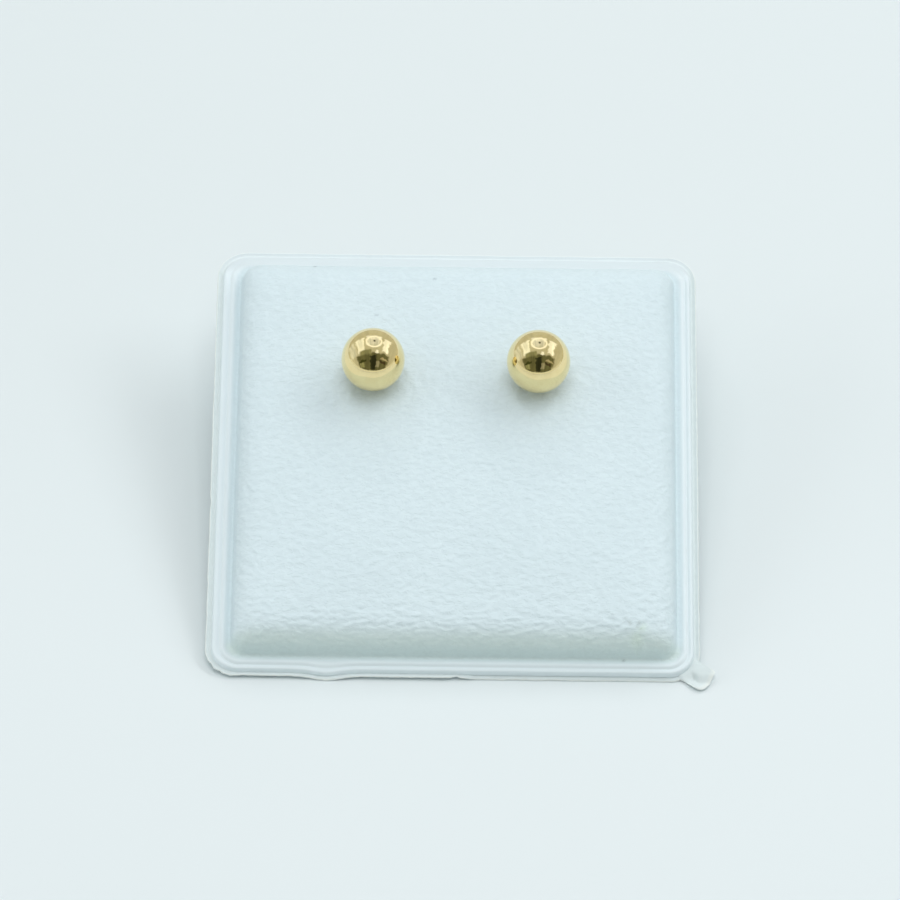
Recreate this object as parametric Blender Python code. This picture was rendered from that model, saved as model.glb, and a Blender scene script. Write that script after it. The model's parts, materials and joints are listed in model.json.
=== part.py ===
"""A pair of ball stud earrings pinned through a padded display card.

The card is modelled flat: X runs across it, Y up it from its bottom edge, and Z out of its face,
with its back at Z = 0. The whole assembly then lies as it does on a table, with the card's bottom
edge and the two post tips on the surface. Lengths are in metres.
"""

import math

import bmesh
import bpy
from mathutils import Vector

# The card's back sheet and its flash edge
CARD_WIDTH = 0.0460
CARD_HEIGHT = 0.0460
CARD_CORNER = 0.0030
SIDE_BOW = 0.00006  # how far the middle of the left and of the right edge stands out
BACKING_THICKNESS = 0.0004
FLASH_WIDTH = 0.00062  # flat film left outside the weld beads
BULGE_HEIGHT = 0.00006  # of the back sheet where the posts push through it
BULGE_MARGIN = 0.0018  # round the clutches

# The leftover tab of flash at the lower right corner
TAB_RADIUS = 0.00125
TAB_RISE = 0.00037  # its centre above the bottom edge
TAB_THICKNESS = 0.0002
TAB_CLEARANCE = 0.00002  # over the table

# The puffed cover
RIM_WIDTH = 0.00125  # two weld beads and the groove between them
RIM_FILM = 0.00012  # the film under the beads
BEAD_HEIGHT = 0.00026
WALL_WIDTH = 0.0022
PUFF_HEIGHT = 0.0034
CROWN_HEIGHT = 0.00025
PLATEAU_CORNER = 0.0024

# The studs
BALL_RADIUS = 0.0030
POST_RADIUS = 0.0004
POST_REACH = 0.0073  # of the post's tip behind the card
POST_CHAMFER = 0.00015
NOTCH_DEPTH = 0.0001
NOTCH_WIDTH = 0.0005
NOTCH_FROM_TIP = 0.0016
STUD_SPACING = 0.0156
STUD_HEIGHT = 0.0302  # up the card from its bottom edge
BALL_SINK = 0.00025  # how far a ball presses into the cover

# The friction clutches
CLUTCH_WIDTH = 0.0050
CLUTCH_DEPTH = 0.0040
CLUTCH_CORNER = 0.0012
CLUTCH_SHEET = 0.00035
CURL_RADIUS = 0.00095
CURL_LENGTH = 0.0032
CURL_EYE = 0.0004
CURL_BITE = 0.0001  # how far a curl runs into the sheet

# Fits
SEAT_GAP = 0.0003  # between pieces that lie on each other
HOLE_CLEARANCE = 0.00025  # round a post where it goes through the card
CLUTCH_CLEARANCE = 0.0001  # round a post in its clutch

# Fineness of the meshes
CORNER_STEPS = 6
SIDE_STEPS = 4
BALL_STEPS = 14
TURN_STEPS = 28
HOLE_STEPS = 16

# Weld beads: distance in from the rim's foot, as a share of RIM_WIDTH, and height as a share of
# BEAD_HEIGHT
BEADS = [
    {"inset": 0.00, "height": 0.00},
    {"inset": 0.12, "height": 0.72},
    {"inset": 0.26, "height": 1.00},
    {"inset": 0.40, "height": 0.72},
    {"inset": 0.50, "height": 0.35},
    {"inset": 0.60, "height": 0.72},
    {"inset": 0.75, "height": 1.00},
    {"inset": 0.90, "height": 0.80},
    {"inset": 1.00, "height": 0.70},
]

# Side wall and shoulder: distance in from the beads, as a share of WALL_WIDTH, and height as a share
# of PUFF_HEIGHT
WALL = [
    {"inset": 0.09, "height": 0.24},
    {"inset": 0.20, "height": 0.46},
    {"inset": 0.34, "height": 0.66},
    {"inset": 0.52, "height": 0.83},
    {"inset": 0.74, "height": 0.95},
    {"inset": 1.00, "height": 1.00},
]

# Crown of the face: width as a share of the plateau's, and height as a share of CROWN_HEIGHT
CROWN = [
    {"width": 0.80, "height": 0.42},
    {"width": 0.50, "height": 0.82},
    {"width": 0.20, "height": 1.00},
]

COVER_FOOT = BACKING_THICKNESS + SEAT_GAP
COVER_FACE = COVER_FOOT + RIM_FILM + PUFF_HEIGHT + CROWN_HEIGHT
BALL_CENTRE = COVER_FACE - BALL_SINK + BALL_RADIUS
POST_HOLE_RADIUS = POST_RADIUS + HOLE_CLEARANCE
TILT = math.atan2(POST_REACH, STUD_HEIGHT - (POST_RADIUS - POST_CHAMFER))


def clear_scene():
    for obj in list(bpy.data.objects):
        bpy.data.objects.remove(obj, do_unlink=True)


def finish_material(name, color, roughness, metallic=0.0):
    material = bpy.data.materials.new(name)
    material.use_nodes = True
    shader = material.node_tree.nodes["Principled BSDF"]
    shader.inputs["Base Color"].default_value = (*color, 1.0)
    shader.inputs["Roughness"].default_value = roughness
    shader.inputs["Metallic"].default_value = metallic
    return material


def object_of(bm, name, material=None, round_piece=False):
    """A named object made from the bmesh, with its doubles merged and its faces pointing out."""
    bmesh.ops.remove_doubles(bm, verts=bm.verts, dist=1e-6)
    bmesh.ops.recalc_face_normals(bm, faces=bm.faces)
    mesh = bpy.data.meshes.new(name)
    bm.to_mesh(mesh)
    bm.free()
    if round_piece:
        mesh.shade_smooth()
        mesh.set_sharp_from_angle(angle=math.radians(40))
    if material:
        mesh.materials.append(material)
    obj = bpy.data.objects.new(name, mesh)
    bpy.context.collection.objects.link(obj)
    return obj


def rounded_outline(width, height, corner, centre_y, bow=0.0):
    """Points round a rounded rectangle, the same number for any size. Its left and right sides bow out."""
    points = []
    quarters = [(1, -1, -90), (1, 1, 0), (-1, 1, 90), (-1, -1, 180)]
    for side_x, side_y, start in quarters:
        pivot = Vector((side_x * (width / 2 - corner), centre_y + side_y * (height / 2 - corner)))
        for step in range(CORNER_STEPS + 1):
            angle = math.radians(start + 90 * step / CORNER_STEPS)
            points.append(pivot + corner * Vector((math.cos(angle), math.sin(angle))))
    outline = []
    for index, point in enumerate(points):
        outline.append(point)
        if index % (CORNER_STEPS + 1) == CORNER_STEPS:
            after = points[(index + 1) % len(points)]
            outward = Vector(((after - point).normalized().y, 0))
            for step in range(1, SIDE_STEPS):
                share = step / SIDE_STEPS
                outline.append(point.lerp(after, share) + outward * bow * 4 * share * (1 - share))
    return outline


def add_ring(bm, outline, height):
    return [bm.verts.new((point.x, point.y, height)) for point in outline]


def join_rings(bm, rings):
    """Skins the rings one after the other and closes the first and the last."""
    count = len(rings[0])
    for low, high in zip(rings, rings[1:]):
        for index in range(count):
            after = (index + 1) % count
            bm.faces.new((low[index], low[after], high[after], high[index]))
    bm.faces.new(rings[0])
    bm.faces.new(rings[-1])


def add_rod(bm, radius, bottom, top, steps, centre=(0.0, 0.0), along="Z"):
    """A closed round rod. Along Y it is centred on (x, z) and runs from bottom to top in Y."""
    made = bmesh.ops.create_cone(
        bm, cap_ends=True, segments=steps, radius1=radius, radius2=radius, depth=top - bottom
    )["verts"]
    middle = (top + bottom) / 2
    if along == "Y":
        for vert in made:
            vert.co = Vector((vert.co.x + centre[0], vert.co.z + middle, centre[1] - vert.co.y))
    else:
        bmesh.ops.translate(bm, verts=made, vec=(centre[0], centre[1], middle))


def hide_helper(obj):
    obj.hide_render = True
    obj.display_type = "WIRE"


def combine(obj, helper, operation):
    modifier = obj.modifiers.new(helper.name, "BOOLEAN")
    modifier.object = helper
    modifier.operation = operation
    hide_helper(helper)


def stud_places():
    return [("left", -STUD_SPACING / 2), ("right", STUD_SPACING / 2)]


def build_backing(material):
    """The back sheet, with the tab at its lower right corner."""
    bm = bmesh.new()
    outline = rounded_outline(CARD_WIDTH, CARD_HEIGHT, CARD_CORNER, CARD_HEIGHT / 2, SIDE_BOW)
    join_rings(bm, [add_ring(bm, outline, 0.0), add_ring(bm, outline, BACKING_THICKNESS)])
    backing = object_of(bm, "pad_backing", material)

    # The sheet bulges a little behind the studs, and is flat all over below them.
    bm = bmesh.new()
    rings = []
    for margin, height in ((BULGE_MARGIN, BACKING_THICKNESS / 2), (BULGE_MARGIN / 2, -BULGE_HEIGHT)):
        width = STUD_SPACING + CLUTCH_WIDTH + 2 * margin
        outline = rounded_outline(width, CLUTCH_DEPTH + 2 * margin, CLUTCH_CORNER + margin, STUD_HEIGHT)
        rings.append(add_ring(bm, outline, height))
    join_rings(bm, rings)
    combine(backing, object_of(bm, "stud_bulge"), "UNION")

    # The table lifts the tab, which reaches below the card's bottom edge.
    tab_reach = TAB_RADIUS - TAB_RISE
    tab_bottom = tab_reach * math.tan(TILT) + TAB_CLEARANCE
    bm = bmesh.new()
    tab_centre = (CARD_WIDTH / 2, TAB_RISE)
    add_rod(bm, TAB_RADIUS, tab_bottom, tab_bottom + TAB_THICKNESS, HOLE_STEPS, tab_centre)
    combine(backing, object_of(bm, "flash_tab"), "UNION")
    return backing


def build_cushion(material):
    """The cover over its foam: weld beads, side wall, shoulder and a gently crowned face."""
    bm = bmesh.new()
    film = COVER_FOOT + RIM_FILM
    wall_inset = FLASH_WIDTH + RIM_WIDTH
    sections = [(FLASH_WIDTH, COVER_FOOT)]
    for row in BEADS:
        sections.append((FLASH_WIDTH + row["inset"] * RIM_WIDTH, film + row["height"] * BEAD_HEIGHT))
    for row in WALL:
        sections.append((wall_inset + row["inset"] * WALL_WIDTH, film + row["height"] * PUFF_HEIGHT))
    rings = []
    for inset, height in sections:
        corner = max(CARD_CORNER - inset, PLATEAU_CORNER)
        outline = rounded_outline(
            CARD_WIDTH - 2 * inset, CARD_HEIGHT - 2 * inset, corner, CARD_HEIGHT / 2
        )
        rings.append(add_ring(bm, outline, height))
    plateau_width = CARD_WIDTH - 2 * (wall_inset + WALL_WIDTH)
    plateau_height = CARD_HEIGHT - 2 * (wall_inset + WALL_WIDTH)
    for row in CROWN:
        share = row["width"]
        outline = rounded_outline(
            plateau_width * share, plateau_height * share, PLATEAU_CORNER * share, CARD_HEIGHT / 2
        )
        rings.append(add_ring(bm, outline, film + PUFF_HEIGHT + row["height"] * CROWN_HEIGHT))
    join_rings(bm, rings)
    return object_of(bm, "pad_cushion", material, round_piece=True)


def cut_post_holes(pieces):
    """A post hole through each piece of the card, and a seat in the cover for each ball."""
    for side, place_x in stud_places():
        bm = bmesh.new()
        add_rod(bm, POST_HOLE_RADIUS, -POST_REACH, BALL_CENTRE, HOLE_STEPS, (place_x, STUD_HEIGHT))
        hole = object_of(bm, f"{side}_post_hole")
        for piece in pieces:
            combine(piece, hole, "DIFFERENCE")
        bm = bmesh.new()
        seat_radius = BALL_RADIUS + HOLE_CLEARANCE
        made = bmesh.ops.create_uvsphere(
            bm, u_segments=TURN_STEPS, v_segments=BALL_STEPS, radius=seat_radius
        )["verts"]
        bmesh.ops.translate(bm, verts=made, vec=(place_x, STUD_HEIGHT, BALL_CENTRE))
        combine(pieces[0], object_of(bm, f"{side}_ball_seat"), "DIFFERENCE")


def stud_profile():
    """Half section of a stud as (radius, height over the ball's centre), from the ball's top to the tip."""
    solder = math.pi - math.asin(POST_RADIUS / BALL_RADIUS)
    profile = []
    for step in range(BALL_STEPS + 1):
        angle = solder * step / BALL_STEPS
        profile.append((BALL_RADIUS * math.sin(angle), BALL_RADIUS * math.cos(angle)))
    tip = -(BALL_CENTRE + POST_REACH)
    notch = tip + NOTCH_FROM_TIP
    profile.append((POST_RADIUS, notch + NOTCH_WIDTH / 2))
    profile.append((POST_RADIUS - NOTCH_DEPTH, notch))
    profile.append((POST_RADIUS, notch - NOTCH_WIDTH / 2))
    profile.append((POST_RADIUS, tip + POST_CHAMFER))
    profile.append((POST_RADIUS - POST_CHAMFER, tip))
    profile.append((0.0, tip))
    return profile


def build_stud(side, place_x, material):
    """A ball soldered to its post, turned as one piece."""
    bm = bmesh.new()
    points = [bm.verts.new((0.0, -radius, height)) for radius, height in stud_profile()]
    edges = [bm.edges.new(pair) for pair in zip(points, points[1:])]
    bmesh.ops.spin(
        bm, geom=points + edges, cent=(0, 0, 0), axis=(0, 0, 1), angle=math.tau,
        steps=TURN_STEPS, use_merge=True,
    )
    stud = object_of(bm, f"{side}_stud", material, round_piece=True)
    stud.location = (place_x, STUD_HEIGHT, BALL_CENTRE)
    return stud


def build_clutch(side, place_x, material):
    """A friction back: a bent sheet with two curls that grip the post between them."""
    bm = bmesh.new()
    outline = rounded_outline(CLUTCH_WIDTH, CLUTCH_DEPTH, CLUTCH_CORNER, 0.0)
    join_rings(bm, [add_ring(bm, outline, -CLUTCH_SHEET), add_ring(bm, outline, 0.0)])
    clutch = object_of(bm, f"{side}_clutch", material)

    curl_x = POST_RADIUS + CLUTCH_CLEARANCE + CURL_RADIUS
    curl_z = CURL_BITE - CLUTCH_SHEET - CURL_RADIUS
    for turn in (-1, 1):
        bm = bmesh.new()
        centre = (turn * curl_x, curl_z)
        add_rod(bm, CURL_RADIUS, -CURL_LENGTH / 2, CURL_LENGTH / 2, HOLE_STEPS, centre, along="Y")
        curl = object_of(bm, f"{side}_clutch_curl_{turn}")
        combine(clutch, curl, "UNION")
        curl.parent = clutch
    for turn in (-1, 1):
        bm = bmesh.new()
        centre = (turn * curl_x, curl_z)
        add_rod(bm, CURL_EYE, -CLUTCH_DEPTH / 2, CLUTCH_DEPTH / 2, HOLE_STEPS, centre, along="Y")
        eye = object_of(bm, f"{side}_clutch_eye_{turn}")
        combine(clutch, eye, "DIFFERENCE")
        eye.parent = clutch
    bm = bmesh.new()
    bore = POST_RADIUS + CLUTCH_CLEARANCE
    add_rod(bm, bore, curl_z - CURL_RADIUS, CLUTCH_SHEET, HOLE_STEPS)
    hole = object_of(bm, f"{side}_clutch_bore")
    combine(clutch, hole, "DIFFERENCE")
    hole.parent = clutch
    clutch.location = (place_x, STUD_HEIGHT, -(BULGE_HEIGHT + SEAT_GAP))
    return clutch


def lay_on_table(pieces):
    """Tilts the card onto its bottom edge and the post tips, with the origin under the middle of its box."""
    assembly = bpy.data.objects.new("display_card", None)
    bpy.context.collection.objects.link(assembly)
    for obj in bpy.data.objects:
        if obj.parent is None and obj is not assembly:
            obj.parent = assembly
    assembly.rotation_euler = (TILT, 0, 0)
    bpy.context.view_layer.update()
    graph = bpy.context.evaluated_depsgraph_get()
    corners = []
    for piece in pieces:
        shown = piece.evaluated_get(graph)
        corners += [shown.matrix_world @ vert.co for vert in shown.data.vertices]
    low = [min(corner[axis] for corner in corners) for axis in range(3)]
    high = [max(corner[axis] for corner in corners) for axis in range(3)]
    assembly.location = (-(low[0] + high[0]) / 2, -(low[1] + high[1]) / 2, -low[2])


def main():
    clear_scene()
    leatherette = finish_material("white_leatherette", (0.66, 0.79, 0.82), 0.5)
    gold = finish_material("yellow_gold", (0.80, 0.58, 0.26), 0.08, 1.0)
    cushion = build_cushion(leatherette)
    backing = build_backing(leatherette)
    cut_post_holes([cushion, backing])
    pieces = [cushion, backing]
    for side, place_x in stud_places():
        pieces.append(build_stud(side, place_x, gold))
        pieces.append(build_clutch(side, place_x, gold))
    lay_on_table(pieces)


main()
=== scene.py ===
import json
import math

import bmesh
import bpy
from mathutils import Matrix, Vector, noise


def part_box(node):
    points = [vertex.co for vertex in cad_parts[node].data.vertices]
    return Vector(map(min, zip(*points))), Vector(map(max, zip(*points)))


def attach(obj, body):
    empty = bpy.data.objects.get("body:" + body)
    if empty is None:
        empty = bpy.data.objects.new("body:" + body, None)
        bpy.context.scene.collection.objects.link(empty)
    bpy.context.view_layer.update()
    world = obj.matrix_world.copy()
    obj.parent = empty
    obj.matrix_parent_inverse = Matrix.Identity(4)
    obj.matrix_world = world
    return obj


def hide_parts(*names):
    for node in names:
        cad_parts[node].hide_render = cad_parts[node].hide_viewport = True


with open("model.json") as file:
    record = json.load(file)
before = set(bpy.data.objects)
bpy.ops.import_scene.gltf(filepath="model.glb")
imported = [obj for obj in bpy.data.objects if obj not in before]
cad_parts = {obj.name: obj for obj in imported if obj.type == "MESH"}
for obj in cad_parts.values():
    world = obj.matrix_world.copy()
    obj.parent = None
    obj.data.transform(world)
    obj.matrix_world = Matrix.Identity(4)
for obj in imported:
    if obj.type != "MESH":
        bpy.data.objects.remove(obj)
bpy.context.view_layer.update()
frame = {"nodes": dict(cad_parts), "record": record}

print("frame loaded:", ", ".join(sorted(frame["nodes"])))

# Piece sizes are millimetres on the card: x across it, t up it from its bottom edge, z out of its face.
mm = 0.001
backMount = next(mount for mount in frame["record"]["mounts"] if mount["name"] == "card_back")
outOfFace = -Vector(backMount["axis"])
upTheCard = Vector((0, outOfFace.z, -outOfFace.y))
backPoint = Vector(backMount["pos_m"])
footY = backPoint.y - backPoint.z * upTheCard.y / upTheCard.z  # where the back meets the table
tilt = math.atan2(upTheCard.z, upTheCard.y)
coverLow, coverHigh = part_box("pad_cushion")
middleX = (coverLow[0] + coverHigh[0]) / 2
cardFrame = Matrix((
    (1, 0, 0, middleX),
    (0, upTheCard.y, outOfFace.y, footY),
    (0, upTheCard.z, outOfFace.z, 0),
    (0, 0, 0, 1),
)) @ Matrix.Scale(mm, 4)
toCard = cardFrame.inverted()

card = {
    "flash": 0.62,  # film outside the weld beads
    "corner": 2.8,
}
card["half"] = (coverHigh[0] - coverLow[0]) / 2 / mm + card["flash"]


def studPlace(side):
    low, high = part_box(side + "_stud")
    radius = (high[0] - low[0]) / 2
    centre = Vector(((low[0] + high[0]) / 2, low[1] + radius, high[2] - radius))
    return toCard @ centre, radius / mm


studs = {side: studPlace(side) for side in ("left", "right")}


# Shared shaping

def roundedPlace(a, b, inset, corner):
    # a and b run from -1 to 1 over the card; a ring of them lands on a rounded square
    ring = max(abs(a), abs(b), 1e-9)
    reach = card["half"] - inset
    x, y = a / ring * reach, b / ring * reach
    corner = min(corner, reach)
    overX, overY = abs(x) - (reach - corner), abs(y) - (reach - corner)
    if overX > 0 and overY > 0:
        length = math.hypot(overX, overY)
        x = math.copysign(reach - corner + overX / length * corner, x)
        y = math.copysign(reach - corner + overY / length * corner, y)
    return x, y + card["half"]


def throughRows(rows, at):
    # one smooth curve through the rows
    if at <= rows[0][0]:
        return rows[0][1]
    if at >= rows[-1][0]:
        return rows[-1][1]
    index = next(i for i in range(len(rows) - 1) if at <= rows[i + 1][0])
    before, start = rows[max(index - 1, 0)], rows[index]
    end, after = rows[index + 1], rows[min(index + 2, len(rows) - 1)]
    width = end[0] - start[0]
    share = (at - start[0]) / width
    slopeIn = (end[1] - before[1]) / (end[0] - before[0]) * width
    slopeOut = (after[1] - start[1]) / (after[0] - start[0]) * width
    square, cube = share * share, share ** 3
    return (
        (2 * cube - 3 * square + 1) * start[1] + (cube - 2 * square + share) * slopeIn
        + (3 * square - 2 * cube) * end[1] + (cube - square) * slopeOut
    )


def hill(distance, width):
    return math.exp(-((distance / width) ** 2))


def clamp(share):
    return min(1.0, max(0.0, share))


def lumps(x, t, size, layer):
    # smooth unevenness of about this size, between -1 and 1
    return noise.noise(Vector((x / size, t / size, layer)))


def makeObject(bm, name, material):
    mesh = bpy.data.meshes.new(name)
    bm.to_mesh(mesh)
    bm.free()
    mesh.materials.append(material)
    piece = bpy.data.objects.new(name, mesh)
    bpy.context.collection.objects.link(piece)
    return piece


def finishPiece(bm, name, material, sharpAngle):
    bmesh.ops.recalc_face_normals(bm, faces=bm.faces)
    bmesh.ops.transform(bm, matrix=cardFrame, verts=bm.verts)
    piece = makeObject(bm, name, material)
    piece.data.shade_smooth()
    piece.data.set_sharp_from_angle(angle=math.radians(sharpAngle))
    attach(piece, "root")
    return piece


# Materials

def newMaterial(name):
    material = bpy.data.materials.new(name)
    material.use_nodes = True
    return material, material.node_tree, material.node_tree.nodes["Principled BSDF"]


def addNode(tree, kind, **settings):
    node = tree.nodes.new(kind)
    for key, value in settings.items():
        setattr(node, key, value)
    return node


def cardCoordinates(tree, scale=(1, 1, 1)):
    # object coordinates turned to lie along the card, in millimetres
    place = addNode(tree, "ShaderNodeTexCoord")
    turn = addNode(tree, "ShaderNodeMapping")
    turn.inputs["Rotation"].default_value = (-tilt, 0, 0)
    turn.inputs["Scale"].default_value = (1 / mm, 1 / mm, 1 / mm)
    tree.links.new(place.outputs["Object"], turn.inputs["Vector"])
    stretch = addNode(tree, "ShaderNodeMapping")
    stretch.inputs["Scale"].default_value = scale
    tree.links.new(turn.outputs["Vector"], stretch.inputs["Vector"])
    return stretch.outputs["Vector"]


def noiseOn(tree, vector, scale, detail, roughness, distortion=0.0):
    texture = addNode(tree, "ShaderNodeTexNoise")
    texture.inputs["Scale"].default_value = scale
    texture.inputs["Detail"].default_value = detail
    texture.inputs["Roughness"].default_value = roughness
    texture.inputs["Distortion"].default_value = distortion
    tree.links.new(vector, texture.inputs["Vector"])
    return texture.outputs["Fac"]


def mathOn(tree, operation, first, second):
    node = addNode(tree, "ShaderNodeMath", operation=operation)
    for socket, value in zip(node.inputs, (first, second)):
        if isinstance(value, float):
            socket.default_value = value
        else:
            tree.links.new(value, socket)
    return node.outputs[0]


def spread(tree, value, fromLow, fromHigh, toLow=0.0, toHigh=1.0):
    node = addNode(tree, "ShaderNodeMapRange", interpolation_type="SMOOTHSTEP")
    tree.links.new(value, node.inputs["Value"])
    ends = {"From Min": fromLow, "From Max": fromHigh, "To Min": toLow, "To Max": toHigh}
    for key, number in ends.items():
        node.inputs[key].default_value = number
    return node.outputs["Result"]


def blendColor(tree, share, first, second, way="MIX"):
    node = addNode(tree, "ShaderNodeMix", data_type="RGBA", blend_type=way)
    for socket, value in ((node.inputs[0], share), (node.inputs[6], first), (node.inputs[7], second)):
        if isinstance(value, float):
            socket.default_value = value
        elif isinstance(value, tuple):
            socket.default_value = (*value, 1)
        else:
            tree.links.new(value, socket)
    return node.outputs[2]


def attributeOn(tree, name, output):
    return addNode(tree, "ShaderNodeAttribute", attribute_name=name).outputs[output]


def bumpOn(tree, height, distance, before=None):
    node = addNode(tree, "ShaderNodeBump")
    node.inputs["Distance"].default_value = distance * mm
    tree.links.new(height, node.inputs["Height"])
    if before:
        tree.links.new(before, node.inputs["Normal"])
    return node.outputs["Normal"]


patchy = (0.35, 0.65)  # where the clouds of a material turn from one colour to the other

leatherette = {
    "base": (0.665, 0.785, 0.825),
    "shade": (0.65, 0.77, 0.81),
    "weld": (0.735, 0.83, 0.86),  # partly painted light: lighter along the beads to offset the shade of the wall beside them, and partly their smoother, whiter pressed finish
    "paintedCreaseShade": (0.61, 0.725, 0.765),
    "roughness": (0.42, 0.58),
    "weldGloss": 0.8,  # the beads' roughness beside the face's
    "specular": 0.8,
    "sheen": 0.05,
    "creaseSize": (1.9, 3.0, 2.4),  # of the pattern along x, t and z, per millimetre
    "creaseEdge": (0.42, 0.58),
    "creaseDepth": 0.016,
    "poreSize": 7.0,
    "poreDepth": 0.004,
    "cloudSize": 0.12,
}


def leatheretteMaterial():
    material, tree, shader = newMaterial("whiteLeatherette")
    links = tree.links
    plain = cardCoordinates(tree)
    stretched = cardCoordinates(tree, leatherette["creaseSize"])
    crease = spread(tree, noiseOn(tree, stretched, 1.0, 1.0, 0.35, 0.6), *leatherette["creaseEdge"])
    pores = noiseOn(tree, plain, leatherette["poreSize"], 3.0, 0.6)
    clouds = noiseOn(tree, plain, leatherette["cloudSize"], 3.0, 0.55)
    color = blendColor(tree, spread(tree, clouds, *patchy), leatherette["base"], leatherette["shade"])
    # painted shade: the creases of the grain are darkened in colour
    color = blendColor(tree, spread(tree, crease, 0.0, 0.5, 0.35, 0.0), color, leatherette["paintedCreaseShade"])
    weld = attributeOn(tree, "weld", "Fac")
    # partly painted light: the beads are lightened beyond their whiter pressed finish, against the wall's
    # shade
    color = blendColor(tree, weld, color, leatherette["weld"])
    # this attribute holds the real stains and dust together with painted shade along the lower wall and the
    # top edge
    color = blendColor(tree, 1.0, color, attributeOn(tree, "stainAndShade", "Color"), "MULTIPLY")
    links.new(color, shader.inputs["Base Color"])
    rough = spread(tree, pores, 0.3, 0.7, *leatherette["roughness"])
    rough = mathOn(tree, "MULTIPLY", rough, spread(tree, weld, 0.0, 1.0, 1.0, leatherette["weldGloss"]))
    links.new(rough, shader.inputs["Roughness"])
    shader.inputs["Specular IOR Level"].default_value = leatherette["specular"]
    shader.inputs["Sheen Weight"].default_value = leatherette["sheen"]
    creased = mathOn(tree, "MULTIPLY", crease, mathOn(tree, "SUBTRACT", 1.0, weld))
    normal = bumpOn(tree, pores, leatherette["poreDepth"])
    normal = bumpOn(tree, creased, leatherette["creaseDepth"], normal)
    links.new(normal, shader.inputs["Normal"])
    return material


vinylSheet = {
    "base": (0.69, 0.775, 0.78),
    "second": (0.67, 0.755, 0.76),
    "top": (0.75, 0.83, 0.855),  # painted light: lighter along the top edge, where the cushion shades the sheet
    "topFrom": 43.5,
    "topTo": 45.6,
    "cut": (0.86, 0.90, 0.86),  # where it was cut or torn
    "roughness": (0.45, 0.6),
    "specular": 0.4,
    "rippleSize": 1.4,
    "rippleDepth": 0.02,
    "poreSize": 9.0,
    "poreDepth": 0.005,
}


def vinylMaterial():
    material, tree, shader = newMaterial("whiteVinylSheet")
    plain = cardCoordinates(tree)
    ripple = noiseOn(tree, plain, vinylSheet["rippleSize"], 3.0, 0.55)
    pores = noiseOn(tree, plain, vinylSheet["poreSize"], 2.0, 0.6)
    color = blendColor(tree, spread(tree, ripple, *patchy), vinylSheet["base"], vinylSheet["second"])
    upward = addNode(tree, "ShaderNodeSeparateXYZ")
    tree.links.new(plain, upward.inputs[0])
    foot = footY / mm * math.cos(tilt)  # the card's bottom edge in these coordinates
    # painted light: the sheet is lightened towards its top edge to make up for the cushion's shade there
    topLightMask = spread(tree, upward.outputs["Y"], foot + vinylSheet["topFrom"], foot + vinylSheet["topTo"])
    color = blendColor(tree, topLightMask, color, vinylSheet["top"])
    color = blendColor(tree, attributeOn(tree, "cut", "Fac"), color, vinylSheet["cut"])
    tree.links.new(color, shader.inputs["Base Color"])
    tree.links.new(spread(tree, pores, 0.3, 0.7, *vinylSheet["roughness"]), shader.inputs["Roughness"])
    shader.inputs["Specular IOR Level"].default_value = vinylSheet["specular"]
    normal = bumpOn(tree, ripple, vinylSheet["rippleDepth"])
    tree.links.new(bumpOn(tree, pores, vinylSheet["poreDepth"], normal), shader.inputs["Normal"])
    return material


yellowGold = {
    "color": (0.97, 0.80, 0.43),
    "worn": (0.93, 0.75, 0.39),
    "wornFrom": (0.35, 0.7),
    "cloudSize": 0.8,
    "scratchSize": 14.0,
    "polished": {"roughness": (0.025, 0.06), "ripple": 0.0006},
    "stamped": {"roughness": (0.16, 0.3), "ripple": 0.003},
}


def goldMaterial(name, finish):
    material, tree, shader = newMaterial(name)
    plain = cardCoordinates(tree)
    clouds = noiseOn(tree, plain, yellowGold["cloudSize"], 3.0, 0.6)
    fine = noiseOn(tree, plain, yellowGold["scratchSize"], 3.0, 0.65)
    shader.inputs["Metallic"].default_value = 1.0
    worn = spread(tree, clouds, *yellowGold["wornFrom"])
    color = blendColor(tree, worn, yellowGold["color"], yellowGold["worn"])
    tree.links.new(color, shader.inputs["Base Color"])
    tree.links.new(spread(tree, fine, 0.35, 0.75, *finish["roughness"]), shader.inputs["Roughness"])
    normal = bumpOn(tree, fine, finish["ripple"])
    tree.links.new(bumpOn(tree, clouds, finish["ripple"] * 8, normal), shader.inputs["Normal"])
    return material


leather = leatheretteMaterial()
vinyl = vinylMaterial()
polishedGold = goldMaterial("polishedYellowGold", yellowGold["polished"])
stampedGold = goldMaterial("stampedYellowGold", yellowGold["stamped"])
print("materials made")


# The puffed cover: weld beads, side wall, shoulder and crowned face, with the creases of its grain

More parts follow.
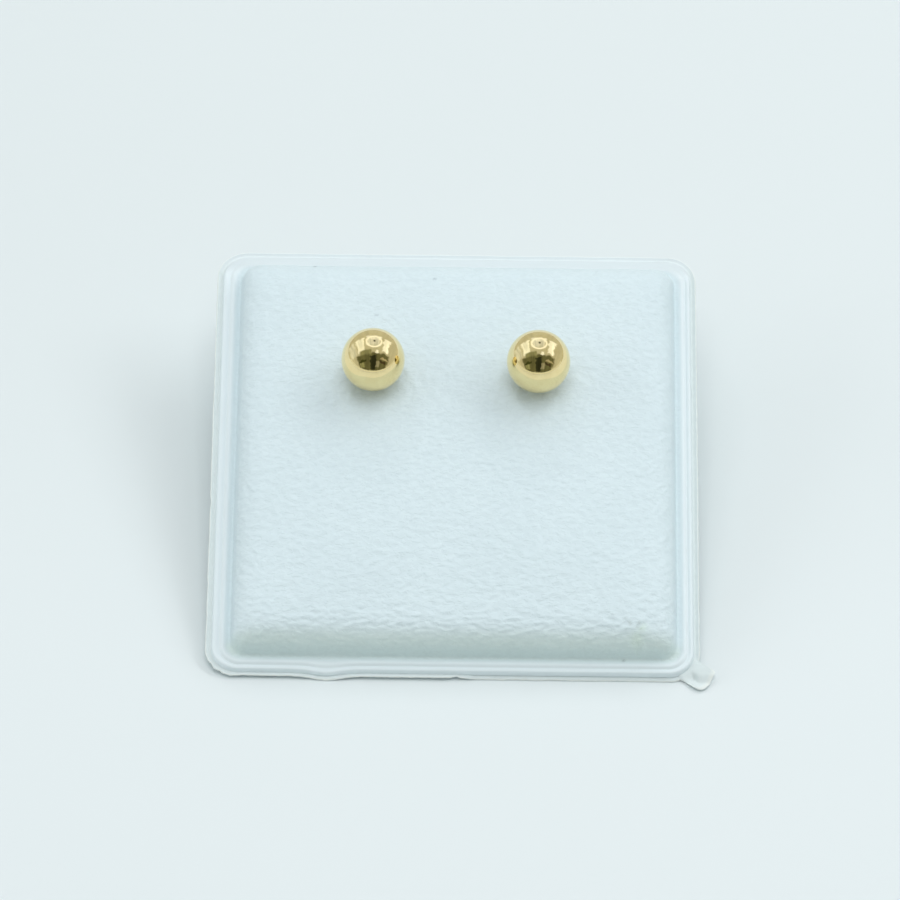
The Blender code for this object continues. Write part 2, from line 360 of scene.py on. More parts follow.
puffedCover = {
    "segments": 312,
    "rimRings": 60,
    "rimCrowding": 1.3,  # rings lie closer towards the beads
    "rimEnd": 5.54,  # inset where the face begins
    "rimWidth": 2.4,
    "crown": 0.61,
    "crownTurn": 2.4,
    "cornerTighten": 0.8,  # of the beads' corners, going inwards
    "cornerLeast": 1.35,
    "cornerOpen": 0.35,  # of the puffed part's corners, going inwards from the wall
    "wall": 2.1,
    "slipRight": 0.1,  # the weld was made a little to the right of and below the cut
    "slipDown": 0.13,
    "leftOut": 0.19,  # the outer bead is wider on the left
    "leftFrom": 0.9,  # share of the card's half width
    "leftOver": 0.06,
    "outerBead": 1.1,  # how far in it reaches
    "topFlat": 0.85,  # along the top edge the beads are pressed nearly flat
    "topFrom": 43,
    "topOver": 1.5,
    "pressed": (0.36, 0.3),  # height of the pressed edge, and how it rises inwards
    "undulation": 0.035,
    "undulationFrom": 1.8,
    "rimUneven": 0.02,
    "dentsFrom": 3,
    "weldEnd": 1.95,
    "weldFade": 0.35,
    "underside": 0.28,
    # inset from the card's edge and height over its back
    "section": [
        (0.50, 0.42), (0.55, 0.56), (0.61, 0.72), (0.68, 0.81), (0.76, 0.84), (0.86, 0.84), (0.95, 0.81),
        (1.02, 0.77), (1.08, 0.73), (1.14, 0.78), (1.21, 0.84), (1.31, 0.90), (1.42, 0.92), (1.54, 0.90),
        (1.66, 0.84), (1.80, 0.77), (1.95, 0.74), (2.08, 0.78), (2.18, 0.95), (2.26, 1.30), (2.33, 1.70),
        (2.42, 2.08), (2.56, 2.42), (2.74, 2.70), (2.96, 2.95), (3.22, 3.17), (3.50, 3.35), (3.83, 3.50),
        (4.20, 3.63), (4.74, 3.76), (5.54, 3.86),
    ],
}
# wrinkles of the embossed grain: their half widths across and up the card, and how deep they are
grain = {
    "across": 0.68, "up": 0.44, "wander": 1.2, "wanderAcross": 3.1, "wanderUp": 2.3,
    "crisp": 2.6, "depth": 0.045, "fine": 0.008, "fineness": 2.3, "fadeUp": 0.35,
    "fadeOver": 46, "startsAt": 1.3, "fullAt": 2.5,  # up the card, and heights on the side wall
}
pinch = {"x": -11.7, "width": 1.7, "reach": 3.2, "slide": 0.3, "flatten": 0.55, "flattest": 0.45}
crater = {"x": 17.3, "t": 5.2, "radius": 0.75, "depth": 0.07, "lip": 0.25}
ballDent = {"radius": 1.7, "depth": 0.1, "under": 0.8, "gap": 0.01}
# dust and the marked place near the lower right corner
stains = [
    {"x": -13.6, "t": 43.0, "radius": 0.13, "color": (0.45, 0.47, 0.5)},
    {"x": -2.1, "t": 41.3, "radius": 0.12, "color": (0.55, 0.57, 0.6)},
    {"x": -7.6, "t": 37.0, "radius": 0.12, "color": (0.55, 0.57, 0.6)},
    {"x": 16.05, "t": 4.75, "radius": 0.14, "color": (0.78, 0.79, 0.77)},
    {"x": 16.4, "t": 4.35, "radius": 0.12, "color": (0.76, 0.77, 0.74)},
    {"x": 16.5, "t": 4.15, "radius": 0.12, "color": (0.8, 0.81, 0.78)},
    {"x": 17.25, "t": 4.3, "radius": 0.14, "color": (0.72, 0.74, 0.72)},
    {"x": 17.1, "t": 3.85, "radius": 0.13, "color": (0.78, 0.8, 0.76)},
    {"x": 17.4, "t": 3.75, "radius": 0.12, "color": (0.8, 0.84, 0.74)},
    {"x": 16.05, "t": 3.75, "radius": 0.13, "color": (0.84, 0.85, 0.84)},
    {"x": 14.8, "t": 5.05, "radius": 0.13, "color": (0.84, 0.85, 0.85)},
    {"x": 15.9, "t": 1.82, "radius": 0.13, "color": (0.6, 0.62, 0.62)},
    {"x": 17.7, "t": 3.9, "radius": 0.35, "color": (0.97, 0.99, 0.91)},
    {"x": 17.1, "t": 3.0, "radius": 0.6, "color": (0.97, 0.985, 0.92)},
]
dents = [
    {"x": -15.2, "t": 44.6, "radius": 0.25, "depth": 0.05},
    {"x": -6.9, "t": 38.0, "radius": 0.3, "depth": 0.04},
    {"x": 12.4, "t": 13.5, "radius": 0.35, "depth": 0.03},
]


def wrinkle(x, t, z):
    along = t + z  # carries the grain on down the side wall
    bend = grain["wander"] * noise.noise(Vector((x / grain["wanderAcross"], along / grain["wanderUp"], 7.7)))
    place = Vector((x / grain["across"] + bend, along / grain["up"] + bend * 0.6, 4.7))
    height = grain["depth"] * math.tanh(grain["crisp"] * noise.noise(place))
    height += grain["fine"] * noise.noise(place * grain["fineness"])
    return height * (1 - grain["fadeUp"] * t / grain["fadeOver"])


def pinchShare(x, t):
    # only at the bottom edge
    return hill(x - pinch["x"], pinch["width"]) * max(0.0, 1 - t / pinch["reach"])


def faceDents(x, t):
    height = 0.0
    for place, radius in studs.values():
        height -= ballDent["depth"] * hill(math.hypot(x - place.x, t - place.y), ballDent["radius"])
    for spot in dents:
        height -= spot["depth"] * hill(math.hypot(x - spot["x"], t - spot["t"]), spot["radius"])
    fromCrater = math.hypot(x - crater["x"], t - crater["t"])
    height -= crater["depth"] * hill(fromCrater, crater["radius"] * 0.6)
    height += crater["depth"] * 0.5 * hill(fromCrater - crater["radius"], crater["lip"])
    return height


# painted shade: a yellow-green cast along the lower wall, which faces the dark front, and a darkening along
# the top edge
lowerWallShadeTint = {"t": 2.5, "reach": 0.9, "color": (0.975, 0.985, 0.915)}
topDull = {"t": 43.6, "over": 0.8, "share": 0.1}


def stainAndShadeAt(x, t, pressed):
    color = [1.0, 1.0, 1.0]
    for spot in stains:
        share = hill(math.hypot(x - spot["x"], t - spot["t"]), spot["radius"])
        color = [value * (1 - share * (1 - part)) for value, part in zip(color, spot["color"])]
    # painted shade: the cover is darkened along its top edge
    topShade = 1 - topDull["share"] * clamp((t - topDull["t"]) / topDull["over"])
    color = [value * topShade for value in color]
    # painted shade: the lower wall is tinted yellow-green, away from the beads
    low = hill(t - lowerWallShadeTint["t"], lowerWallShadeTint["reach"]) * (1 - pressed)
    return (*[value * (1 - low * (1 - part)) for value, part in zip(color, lowerWallShadeTint["color"])], 1)


def underBall(x, t, z):
    # the cover gives way where a ball presses into it
    for place, radius in studs.values():
        away = math.hypot(x - place.x, t - place.y)
        if away < radius * ballDent["under"]:
            z = min(z, place.z - math.sqrt(radius * radius - away * away) - ballDent["gap"])
    return z


def ringProfile(ring, rings):
    # inset from the card's edge and height over its back
    size = puffedCover
    outer, inner = size["section"][0], size["section"][-1]
    if ring <= size["rimRings"]:
        share = (ring / size["rimRings"]) ** size["rimCrowding"]
        inset = outer[0] + (size["rimEnd"] - outer[0]) * share
        return inset, throughRows(size["section"], inset)
    share = (ring - size["rimRings"]) / (rings - size["rimRings"])
    inset = size["rimEnd"] + (card["half"] - size["rimEnd"]) * share
    return inset, inner[1] + size["crown"] * (1 - (1 - share) ** size["crownTurn"])


def coverPoint(a, b, inset, height):
    size = puffedCover
    tight = card["corner"] - size["cornerTighten"] * inset
    opened = size["cornerLeast"] + size["cornerOpen"] * max(0.0, inset - size["wall"])
    x, t = roundedPlace(a, b, inset, max(tight, opened))
    onLeft = clamp((-x / card["half"] - size["leftFrom"]) / size["leftOver"])
    x -= size["leftOut"] * onLeft * clamp((size["outerBead"] - inset) / 0.4)
    x += size["slipRight"] * (1 - x / card["half"])
    t -= size["slipDown"] * (1 - t / card["half"] / 2)
    onRim = max(0.0, 1 - inset / size["rimWidth"])
    flatter = size["topFlat"] * clamp((t - size["topFrom"]) / size["topOver"]) * clamp(onRim * 4)
    low, rise = size["pressed"]
    height += flatter * (low + rise * inset - height)
    squeezed = pinchShare(x, t)
    height -= squeezed * pinch["flatten"] * max(0.0, height - pinch["flattest"]) * clamp(onRim * 2.5)
    t -= squeezed * pinch["slide"] * clamp(onRim * 2)
    height += lumps(x, t, 7, 1.3) * size["undulation"] * clamp(inset - size["undulationFrom"])
    height += size["rimUneven"] * onRim * lumps(x, t, 2.2, 6.1)
    if inset > size["dentsFrom"]:
        height += faceDents(x, t)
    return x, t, height


def wrinkleCover(bm):
    bm.normal_update()
    moves = []
    for vert in bm.verts:
        strength = clamp((vert.co.z - grain["startsAt"]) / (grain["fullAt"] - grain["startsAt"]))
        moves.append(vert.normal * wrinkle(*vert.co) * strength)
    for vert, move in zip(bm.verts, moves):
        vert.co += move
        vert.co.z = underBall(*vert.co)


def closeCover(bm):
    # the rim turns down, and a flat sheet closes it underneath
    rim = [edge for edge in bm.edges if edge.is_boundary]
    wall = bmesh.ops.extrude_edge_only(bm, edges=rim)["geom"]
    for vert in (item for item in wall if isinstance(item, bmesh.types.BMVert)):
        vert.co.z = puffedCover["underside"]
    bmesh.ops.holes_fill(bm, edges=[edge for edge in bm.edges if edge.is_boundary], sides=0)


def makeCover():
    size = puffedCover
    rings = size["segments"] // 2
    bm = bmesh.new()
    stainAndShade = bm.verts.layers.float_color.new("stainAndShade")
    weld = bm.verts.layers.float.new("weld")
    bmesh.ops.create_grid(bm, x_segments=size["segments"], y_segments=size["segments"], size=1)
    for vert in bm.verts:
        a, b = vert.co.x, vert.co.y
        inset, height = ringProfile(round((1 - max(abs(a), abs(b))) * rings), rings)
        x, t, height = coverPoint(a, b, inset, height)
        vert.co = (x, t, height)
        vert[weld] = clamp((size["weldEnd"] - inset) / size["weldFade"])
        vert[stainAndShade] = stainAndShadeAt(x, t, vert[weld])
    wrinkleCover(bm)
    closeCover(bm)
    return finishPiece(bm, "puffedCover", leather, 60)


cover = makeCover()
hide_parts("pad_cushion")
print("cover made:", len(cover.data.polygons), "faces")


# The back sheet with its torn flash edge, and the tab of flash at the lower right corner

backSheet = {
    "points": 2400,
    "torn": 0.045,
    "ragged": 0.03,
    "uneven": 0.03,
    "loose": 0.9,  # how far in from its edge it is free of the weld
    "cornerLeast": 0.4,
    "pinched": 0.22,
    "pinchedOver": 0.2,  # above this height
    "drawnFrom": 0.6,  # how far in from the edge the tab pulls at it
    "drawnFully": 0.8,
    "cutWidth": 0.12,
    # inset from the edge and height over the back, over the top and round under it
    "section": [
        (0.95, 0.47), (0.60, 0.47), (0.53, 0.465), (0.46, 0.45), (0.39, 0.44), (0.33, 0.45), (0.27, 0.475),
        (0.21, 0.505), (0.16, 0.53), (0.12, 0.55), (0.08, 0.55), (0.03, 0.54), (0.00, 0.47), (0.04, 0.38),
        (0.16, 0.27), (0.34, 0.14), (0.60, 0.0),
    ],
}
# leftover film drawn out of the lower right corner, from one angle round the corner to the other
flashTab = {
    "from": -69, "to": -16, "thick": 0.15, "lift": 0.02, "clear": 0.2, "clearFrom": 0.4,
    "plateau": 0.62, "slope": 0.33, "fold": 0.5, "uneven": 0.03,
    "crease": {"x": 22.45, "t": 0.2, "wide": 0.2, "long": 0.5, "depth": 0.42},
    "dish": {"x": 22.05, "t": 0.25, "wide": 0.5, "long": 0.6, "depth": 0.3},
    "across": [
        (0.0, 21.2), (0.07, 21.55), (0.15, 22.0), (0.25, 22.5), (0.36, 23.05), (0.46, 23.5), (0.55, 23.9),
        (0.65, 24.25), (0.71, 24.42), (0.78, 24.1), (0.88, 23.5), (1.0, 22.89),
    ],
    "up": [
        (0.0, 0.19), (0.07, 0.0), (0.15, -0.4), (0.25, -0.83), (0.36, -1.03), (0.46, -0.82), (0.55, -0.32),
        (0.65, 0.42), (0.71, 0.82), (0.78, 1.15), (0.88, 1.5), (1.0, 2.03),
    ],
}
droop = {"left": 0.1, "right": 0.42, "from": 0.6, "to": 2.2, "reach": 3}  # of the flange at the bottom edge
nicks = [
    {"x": -22.5, "t": 1.1, "width": 0.16, "depth": 0.08},
    {"x": -22.1, "t": 0.75, "width": 0.14, "depth": -0.07},
    {"x": -21.6, "t": 0.4, "width": 0.16, "depth": 0.08},
    {"x": -20.6, "t": 0.05, "width": 0.15, "depth": -0.08},
    {"x": -19.4, "t": 0.3, "width": 0.3, "depth": 0.16},
    {"x": 0.35, "t": 0.0, "width": 0.35, "depth": 0.12},
    {"x": -22.9, "t": 9.5, "width": 0.4, "depth": 0.1},
    {"x": -22.9, "t": 18.3, "width": 0.5, "depth": 0.08},
]


def tornEdge(x, t):
    out = backSheet["torn"] * lumps(x, t, 2.3, 2.2) + backSheet["ragged"] * lumps(x, t, 0.35, 5.4)
    for nick in nicks:
        out -= nick["depth"] * hill(math.hypot(x - nick["x"], t - nick["t"]), nick["width"])
    return out


def droopAt(x, t):
    share = clamp((x - droop["from"]) / (droop["to"] - droop["from"]))
    return (droop["left"] + (droop["right"] - droop["left"]) * share) * max(0.0, 1 - t / droop["reach"])


def tabPull(x, t):
    # how far the edge is drawn out at this place
    centreX, centreT = card["half"] - card["corner"], card["corner"]
    angle = math.degrees(math.atan2(t - centreT, x - centreX))
    share = (angle - flashTab["from"]) / (flashTab["to"] - flashTab["from"])
    if x < centreX or t > centreT or not 0 < share < 1:
        return Vector((0, 0))
    return Vector((throughRows(flashTab["across"], share) - x, throughRows(flashTab["up"], share) - t))


def tabHeight(x, t):
    # a flat top that folds down to the table in front, with one crease
    z = flashTab["plateau"] - flashTab["slope"] * max(0.0, flashTab["fold"] - t)
    for dip in (flashTab["crease"], flashTab["dish"]):
        z -= dip["depth"] * hill(x - dip["x"], dip["wide"]) * hill(t - dip["t"], dip["long"])
    z += flashTab["uneven"] * lumps(x, t, 0.5, 3.3)
    over = flashTab["clear"] * clamp(flashTab["clearFrom"] - t)
    return max(z, flashTab["thick"] + flashTab["lift"] + over - t * math.tan(tilt))


def sheetPoint(around, inset, height, under):
    # around runs from 0 to 1 round the card, and under is how far this row lies below the tab's top
    size = backSheet
    side, along = int(around * 8 // 2) % 4, around * 8 % 2 - 1
    a, b = [(1, along), (-along, 1), (-1, -along), (along, -1)][side]
    x, t = roundedPlace(a, b, inset, max(card["corner"] - inset, size["cornerLeast"]))
    edgeX, edgeT = roundedPlace(a, b, 0.0, card["corner"])
    away = Vector((edgeX, edgeT - card["half"])).normalized()
    loose = max(0.0, 1 - inset / size["loose"])
    move = tornEdge(edgeX, edgeT) * loose
    squeezed = pinchShare(x, t)
    z = height - squeezed * size["pinched"] * loose * (height > size["pinchedOver"])
    x, t = x + away.x * move, t + away.y * move - squeezed * pinch["slide"] * loose
    z += size["uneven"] * loose * lumps(x, t, 1.7, 8.8) - droopAt(x, t) * loose
    pull = tabPull(edgeX, edgeT) * max(0.0, 1 - inset / size["drawnFrom"])
    if pull.length:
        x, t = x + pull.x, t + pull.y
        z += (tabHeight(x, t) - under - z) * clamp(pull.length / size["drawnFully"])
    return x, t, max(z, 0.0)


def makeBackSheet():
    size = backSheet
    rim = min(range(len(size["section"])), key=lambda row: size["section"][row][0])
    bm = bmesh.new()
    share = bm.verts.layers.float.new("share")
    cut = bm.verts.layers.float.new("cut")
    bmesh.ops.create_circle(bm, cap_ends=False, segments=size["points"], radius=1)
    for index, vert in enumerate(bm.verts):
        vert[share] = index / size["points"]
    topRow = edges = list(bm.edges)
    for row, (inset, height) in enumerate(size["section"]):
        if row:
            edges = [
                item for item in bmesh.ops.extrude_edge_only(bm, edges=edges)["geom"]
                if isinstance(item, bmesh.types.BMEdge) and item.is_boundary
            ]
        under = flashTab["thick"] * clamp((row - rim + 1) / 2)
        for vert in {vert for edge in edges for vert in edge.verts}:
            x, t, z = sheetPoint(vert[share], inset, height, under)
            vert.co = (x, t, z)
            vert[cut] = max(0.0, 1 - inset / size["cutWidth"]) * (0.75 + 0.5 * lumps(x, t, 0.6, 9.1))
    bmesh.ops.contextual_create(bm, geom=topRow)
    bmesh.ops.contextual_create(bm, geom=edges)
    bmesh.ops.triangulate(bm, faces=[face for face in bm.faces if len(face.verts) > 4])
    return finishPiece(bm, "backSheet", vinyl, 55)


sheet = makeBackSheet()
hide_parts("pad_backing")
print("back sheet made:", len(sheet.data.polygons), "faces")


# The studs: a hollow-pressed ball soldered to its post

stud = {
    "post": 0.4, "chamfer": 0.15, "notch": 0.1, "notchWidth": 0.5, "notchFromTip": 1.6,
    "solder": [(0.06, 0.04), (0.05, 0.14), (0.0, 0.24)],  # out from the post, and down from the ball
    "arcSteps": 72, "turnSteps": 128,
}


def makeStud(side):
    place, radius = studs[side]
    post = stud["post"]
    tip = -(place.y - (post - stud["chamfer"])) * math.tan(tilt)
    bm = bmesh.new()
    pole = bm.verts.new((0, 0, radius))
    arc = bmesh.ops.spin(
        bm, geom=[pole], cent=(0, 0, 0), axis=(1, 0, 0), angle=math.pi - math.asin(post / radius),
        steps=stud["arcSteps"], use_merge=False,
    )["geom_last"]
    last = next(item for item in arc if isinstance(item, bmesh.types.BMVert))
    last.co = (0, math.copysign(post, last.co.y), last.co.z)
    reach = tip - place.z
    notch = reach + stud["notchFromTip"]
    half = stud["notchWidth"] / 2
    groove = post - stud["notch"]
    rows = [(post + out, last.co.z - down) for out, down in stud["solder"]]
    rows += [
        (post, notch + half), (groove, notch + half * 0.4),
        (groove, notch - half * 0.4), (post, notch - half),
        (post, reach + stud["chamfer"]), (post - stud["chamfer"], reach), (0, reach),
    ]
    for width, height in rows:
        made = bmesh.ops.extrude_vert_indiv(bm, verts=[last])["verts"][0]
        made.co = (0, math.copysign(width, last.co.y), height)
        last = made
    bmesh.ops.spin(
        bm, geom=bm.verts[:] + bm.edges[:], cent=(0, 0, 0), axis=(0, 0, 1), angle=math.tau,
        steps=stud["turnSteps"], use_merge=True,
    )
    bmesh.ops.remove_doubles(bm, verts=bm.verts, dist=0.0005)
    bmesh.ops.translate(bm, verts=bm.verts, vec=place)
    piece = finishPiece(bm, side + "BallStud", polishedGold, 35)
    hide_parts(side + "_stud")


for side in studs:
    makeStud(side)
print("studs made")


# The friction backs: a stamped sheet whose two ends curl in against the post

clutch = {
    "sheet": 0.3, "halfWidth": 2.5, "depth": 4.0, "rounding": 0.42, "dish": 0.12, "dishWidth": 0.75,
    "curlRadius": 0.95, "curlCentre": 1.45, "curlStart": 2.2, "curlLength": 3.2, "curlDown": 0.05,
    "curlLift": 0.02, "curlCuts": 7,
    "turns": 1.25, "steps": 40, "evenSteps": 8, "tighten": 0.985, "drop": 0.36,
}


def curlClutch(bm, turn):
    size = clutch
    ends = [
        bm.verts.new((turn * size["curlStart"], half * size["curlLength"] / 2, -size["curlDown"]))
        for half in (-1, 1)
    ]
    cut = bmesh.ops.subdivide_edges(bm, edges=[bm.edges.new(ends)], cuts=size["curlCuts"])["geom_split"]
    edges = [item for item in cut if isinstance(item, bmesh.types.BMEdge)]
    centre = Vector((turn * size["curlCentre"], 0, -size["curlRadius"] + size["curlLift"]))
    angle = turn * math.tau * size["turns"] / size["steps"]
    for step in range(size["steps"]):
        edges = [
            item for item in bmesh.ops.extrude_edge_only(bm, edges=edges)["geom"]
            if isinstance(item, bmesh.types.BMEdge) and item.is_boundary
            and abs(item.verts[0].co.y - item.verts[1].co.y) > 0.1
        ]
        scale = size["tighten"] if step > size["evenSteps"] else 1.0
        matrix = Matrix.Translation(centre) @ Matrix.Rotation(angle, 4, "Y")
        matrix = matrix @ Matrix.Diagonal((scale, 1, scale, 1)) @ Matrix.Translation(-centre)
        bmesh.ops.transform(bm, matrix=matrix, verts=list({vert for item in edges for vert in item.verts}))


def makeClutch(side):
    place = studs[side][0]
    size = clutch
    bm = bmesh.new()
    bmesh.ops.create_grid(bm, x_segments=20, y_segments=16, size=1)
    for vert in bm.verts:
        a, b = vert.co.x, vert.co.y
        x = a * math.sqrt(1 - size["rounding"] * b * b) * size["halfWidth"]
        t = b * math.sqrt(1 - size["rounding"] * a * a) * size["depth"] / 2
        vert.co = (x, t, -size["dish"] * hill(math.hypot(x, t), size["dishWidth"]))
    for turn in (-1, 1):
        curlClutch(bm, turn)
    bmesh.ops.solidify(bm, geom=bm.faces[:], thickness=size["sheet"])
    bmesh.ops.translate(bm, verts=bm.verts, vec=(place.x, place.y, -size["drop"]))
    piece = finishPiece(bm, side + "FrictionBack", stampedGold, 40)
    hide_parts(side + "_clutch")


for side in studs:
    makeClutch(side)
print("friction backs made")


# Table, light and camera

table = {
    "half": 2.5,
    # painted light and shade: the table is lighter towards the front and darker towards the back, to even
    # out how the lamps light it
    "front": (0.757, 0.824, 0.840),
    "back": (0.720, 0.785, 0.798),
    "turns": (-0.045, 0.055),  # where one colour gives way to the other, in metres
    "cloudy": (0.985, 0.985, 0.985),
    "cloudSize": 6.0,  # clouds per metre
    "roughness": 0.6,
    "specular": 0.2,
}


def makeTable():
    material, tree, shader = newMaterial("paleTable")
    place = addNode(tree, "ShaderNodeTexCoord").outputs["Object"]
    clouds = noiseOn(tree, place, table["cloudSize"], 3.0, 0.5)
    depth = addNode(tree, "ShaderNodeSeparateXYZ")
    tree.links.new(place, depth.inputs[0])
    # painted light and shade: the colour runs from the lighter front to the darker back
    turned = spread(tree, depth.outputs["Y"], *table["turns"])
    color = blendColor(tree, turned, table["front"], table["back"])
    color = blendColor(tree, spread(tree, clouds, 0.3, 0.7), color, table["cloudy"], "MULTIPLY")
    tree.links.new(color, shader.inputs["Base Color"])
    shader.inputs["Roughness"].default_value = table["roughness"]
    shader.inputs["Specular IOR Level"].default_value = table["specular"]
    bm = bmesh.new()
    bmesh.ops.create_grid(bm, x_segments=1, y_segments=1, size=table["half"])
    piece = makeObject(bm, "table", material)


# The lamps and the tent are placed by x and y, degrees from straight overhead, to the right and to the back

lamps = [
    {"name": "leftLow", "x": -64, "y": 0, "wide": 0.24, "tall": 0.5, "power": 0.62},
    {"name": "rightLow", "x": 64, "y": 0, "wide": 0.24, "tall": 0.5, "power": 0.11},
    {"name": "rightPanel", "x": 42, "y": 19, "wide": 0.2, "tall": 0.55, "power": 0.96},
    {"name": "overPanel", "x": 0, "y": -12, "wide": 0.3, "tall": 0.3, "power": 0.86},
]
lampRing = {"x": 2, "y": 26.5, "radius": 23, "count": 16, "size": 0.05, "power": 0.045}
lampDistance = 0.6
roomLight = {"color": (0.97, 1.0, 1.0), "strength": 0.44}


def toward(x, y):
    away = math.hypot(x, y)
    flat = math.sin(math.radians(away)) / away if away else 0
    return Vector((x * flat, y * flat, math.cos(math.radians(away))))


def hangLamp(name, x, y, wide, tall, power):
    data = bpy.data.lights.new(name, "AREA")
    data.shape = "RECTANGLE"
    data.size, data.size_y = tall, wide
    data.energy = power
    lamp = bpy.data.objects.new(name, data)
    direction = toward(x, y)
    turn = direction.to_track_quat("Z", "Y").to_matrix().to_4x4()
    lamp.matrix_world = Matrix.Translation(direction * lampDistance) @ turn
    lamp.visible_glossy = False  # the tent shows in the polished gold instead
    bpy.context.collection.objects.link(lamp)


def makeLamps():
    for lamp in lamps:
        hangLamp(**lamp)
    ring = lampRing
    for index in range(ring["count"]):
        angle = math.tau * index / ring["count"]
        x = ring["x"] + ring["radius"] * math.cos(angle)
        y = ring["y"] + ring["radius"] * math.sin(angle)
        hangLamp("ringLamp" + str(index), x, y, ring["size"], ring["size"], ring["power"])
    world = bpy.data.worlds.new("room")
    bpy.context.scene.world = world
    world.use_nodes = True
    background = world.node_tree.nodes["Background"]
    background.inputs["Color"].default_value = (*roomLight["color"], 1)
    background.inputs["Strength"].default_value = roomLight["strength"]


# A pale tent with bright panels, a ring of light and a dark opening, which the polished gold reflects

tent = {
    "radius": 0.5, "cells": 240, "reach": 93, "fabric": (0.54, 0.56, 0.5),
    "foldDepth": 0.12, "patchFolds": 0.3,
    "bend": 5.0, "bendSize": 11,  # nothing hangs quite straight
    "ring": {"x": 2, "y": 26.5, "radius": 23, "width": 5.5, "edge": 4, "color": (1.15, 1.22, 1.35)},
    "sweep": {"from": 86, "edge": 3, "color": (0.72, 0.78, 0.76)},  # the white table curving up in front
}
tentPatches = [
    {"x": 1, "y": 27, "wide": 20, "tall": 17, "edge": 9, "color": (0.75, 0.82, 0.92)},
    {"x": 1, "y": 44, "wide": 22, "tall": 9, "edge": 6, "color": (0.95, 1.02, 1.15)},
    {"x": -41, "y": 17, "wide": 13, "tall": 30, "edge": 6, "color": (1.0, 1.1, 1.2)},
    {"x": 42, "y": 19, "wide": 11, "tall": 28, "edge": 5, "color": (1.05, 1.15, 1.3)},
    {"x": -71, "y": 17, "wide": 11, "tall": 30, "edge": 8, "color": (0.68, 0.74, 0.76)},
    {"x": 0, "y": -52, "wide": 62, "tall": 34, "edge": 9, "color": (0.13, 0.14, 0.08)},
    {"x": -27, "y": -14, "wide": 20, "tall": 9, "edge": 8, "color": (0.24, 0.26, 0.17)},
    {"x": 0, "y": -55, "wide": 12, "tall": 26, "edge": 5, "color": (0.03, 0.035, 0.02)},
    {"x": -42, "y": -44, "wide": 14, "tall": 4, "edge": 3, "color": (0.05, 0.06, 0.02)},
    {"x": 40, "y": -48, "wide": 14, "tall": 4, "edge": 3, "color": (0.06, 0.05, 0.03)},
    {"x": 18, "y": -58, "wide": 7, "tall": 12, "edge": 4, "color": (0.3, 0.31, 0.26)},
    {"x": -48, "y": -58, "wide": 9, "tall": 9, "edge": 4, "color": (0.28, 0.31, 0.19)},
    {"x": 44, "y": -36, "wide": 16, "tall": 3, "edge": 3, "color": (0.42, 0.4, 0.3)},
    {"x": 13, "y": -14, "wide": 6, "tall": 6, "edge": 4, "color": (1.1, 1.2, 1.35)},
    {"x": 2, "y": 27, "wide": 3.5, "tall": 3.5, "edge": 3, "color": (0.12, 0.13, 0.12)},
]


def softShare(distance, half, edge):
    share = clamp((half + edge / 2 - distance) / edge)
    return share * share * (3 - 2 * share)


def tentGlow(x, y):
    folds = noise.noise(Vector((x / 9, y / 60, 0.7))) + 0.5 * noise.noise(Vector((x / 4, y / 30, 3.1)))
    color = Vector(tent["fabric"]) * (1 + tent["foldDepth"] * folds)
    bentX = x + tent["bend"] * lumps(x, y, tent["bendSize"], 12.3)
    bentY = y + tent["bend"] * lumps(x, y, tent["bendSize"], 15.9)
    for patch in tentPatches:
        share = softShare(abs(bentX - patch["x"]), patch["wide"], patch["edge"])
        share *= softShare(abs(bentY - patch["y"]), patch["tall"], patch["edge"])
        color = color.lerp(Vector(patch["color"]) * (1 + tent["patchFolds"] * folds), share)
    ring, sweep = tent["ring"], tent["sweep"]
    fromRing = abs(math.hypot(x - ring["x"], y - ring["y"]) - ring["radius"])
    color = color.lerp(Vector(ring["color"]), softShare(fromRing, ring["width"] / 2, ring["edge"]))
    if y >= 0:
        return color
    return color.lerp(Vector(sweep["color"]), softShare(-math.hypot(x, y), -sweep["from"], sweep["edge"]))


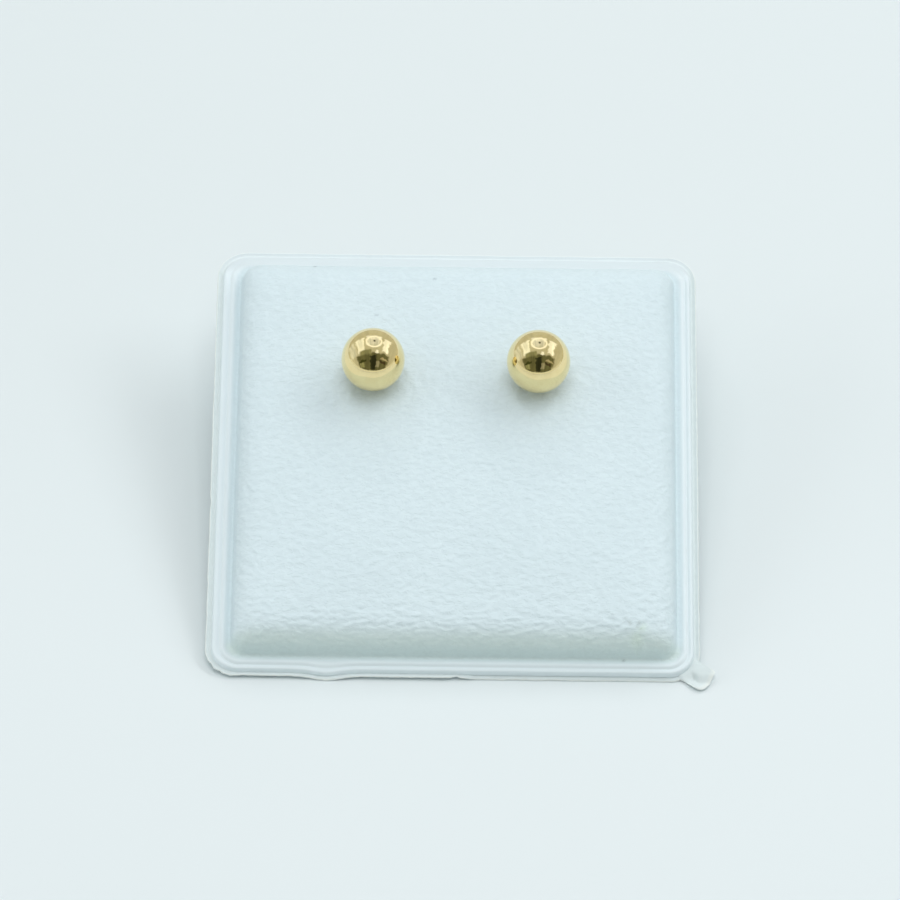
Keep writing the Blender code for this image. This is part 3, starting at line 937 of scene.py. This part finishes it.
def makeTent():
    material, tree, shader = newMaterial("tentGlow")
    tree.nodes.remove(shader)
    glow = addNode(tree, "ShaderNodeEmission")
    tree.links.new(attributeOn(tree, "glow", "Color"), glow.inputs["Color"])
    tree.links.new(glow.outputs[0], tree.nodes["Material Output"].inputs["Surface"])
    bm = bmesh.new()
    color = bm.verts.layers.float_color.new("glow")
    bmesh.ops.create_grid(bm, x_segments=tent["cells"], y_segments=tent["cells"], size=1)
    middle = cardFrame @ ((studs["left"][0] + studs["right"][0]) / 2)
    for vert in bm.verts:
        a, b = vert.co.x, vert.co.y
        reach = tent["reach"] * max(abs(a), abs(b))
        length = math.hypot(a, b) or 1
        x, y = a / length * reach, b / length * reach
        vert[color] = (*tentGlow(x, y), 1)
        vert.co = toward(x, y) * tent["radius"] + middle
    bmesh.ops.reverse_faces(bm, faces=bm.faces)
    piece = makeObject(bm, "reflectionTent", material)
    piece.visible_camera = piece.visible_diffuse = piece.visible_shadow = False


view = {
    "aim": (-0.448, 22.042, 4.47), "distance": 0.58263, "elevation": 46.418, "turn": 0.036, "roll": 0.648,
    "focalPixels": 6200, "imagePixels": 900, "sensor": 36,
}


def makeCamera():
    data = bpy.data.cameras.new("photoCamera")
    data.sensor_width = view["sensor"]
    data.lens = view["focalPixels"] / view["imagePixels"] * view["sensor"]
    data.clip_start, data.clip_end = 0.02, 20
    camera = bpy.data.objects.new("photoCamera", data)
    bpy.context.collection.objects.link(camera)
    bpy.context.scene.camera = camera
    turned = Matrix.Rotation(math.radians(view["turn"]), 4, "Z")
    raised = Matrix.Rotation(math.radians(90 - view["elevation"]), 4, "X")
    rolled = Matrix.Rotation(math.radians(view["roll"]), 4, "Z")
    back = Matrix.Translation((0, 0, view["distance"]))
    aim = Matrix.Translation(cardFrame @ Vector(view["aim"]))
    camera.matrix_world = aim @ turned @ raised @ rolled @ back


makeTable()
makeLamps()
makeTent()
makeCamera()
bpy.context.scene.view_settings.view_transform = "Standard"
print("table, lamps and camera set")
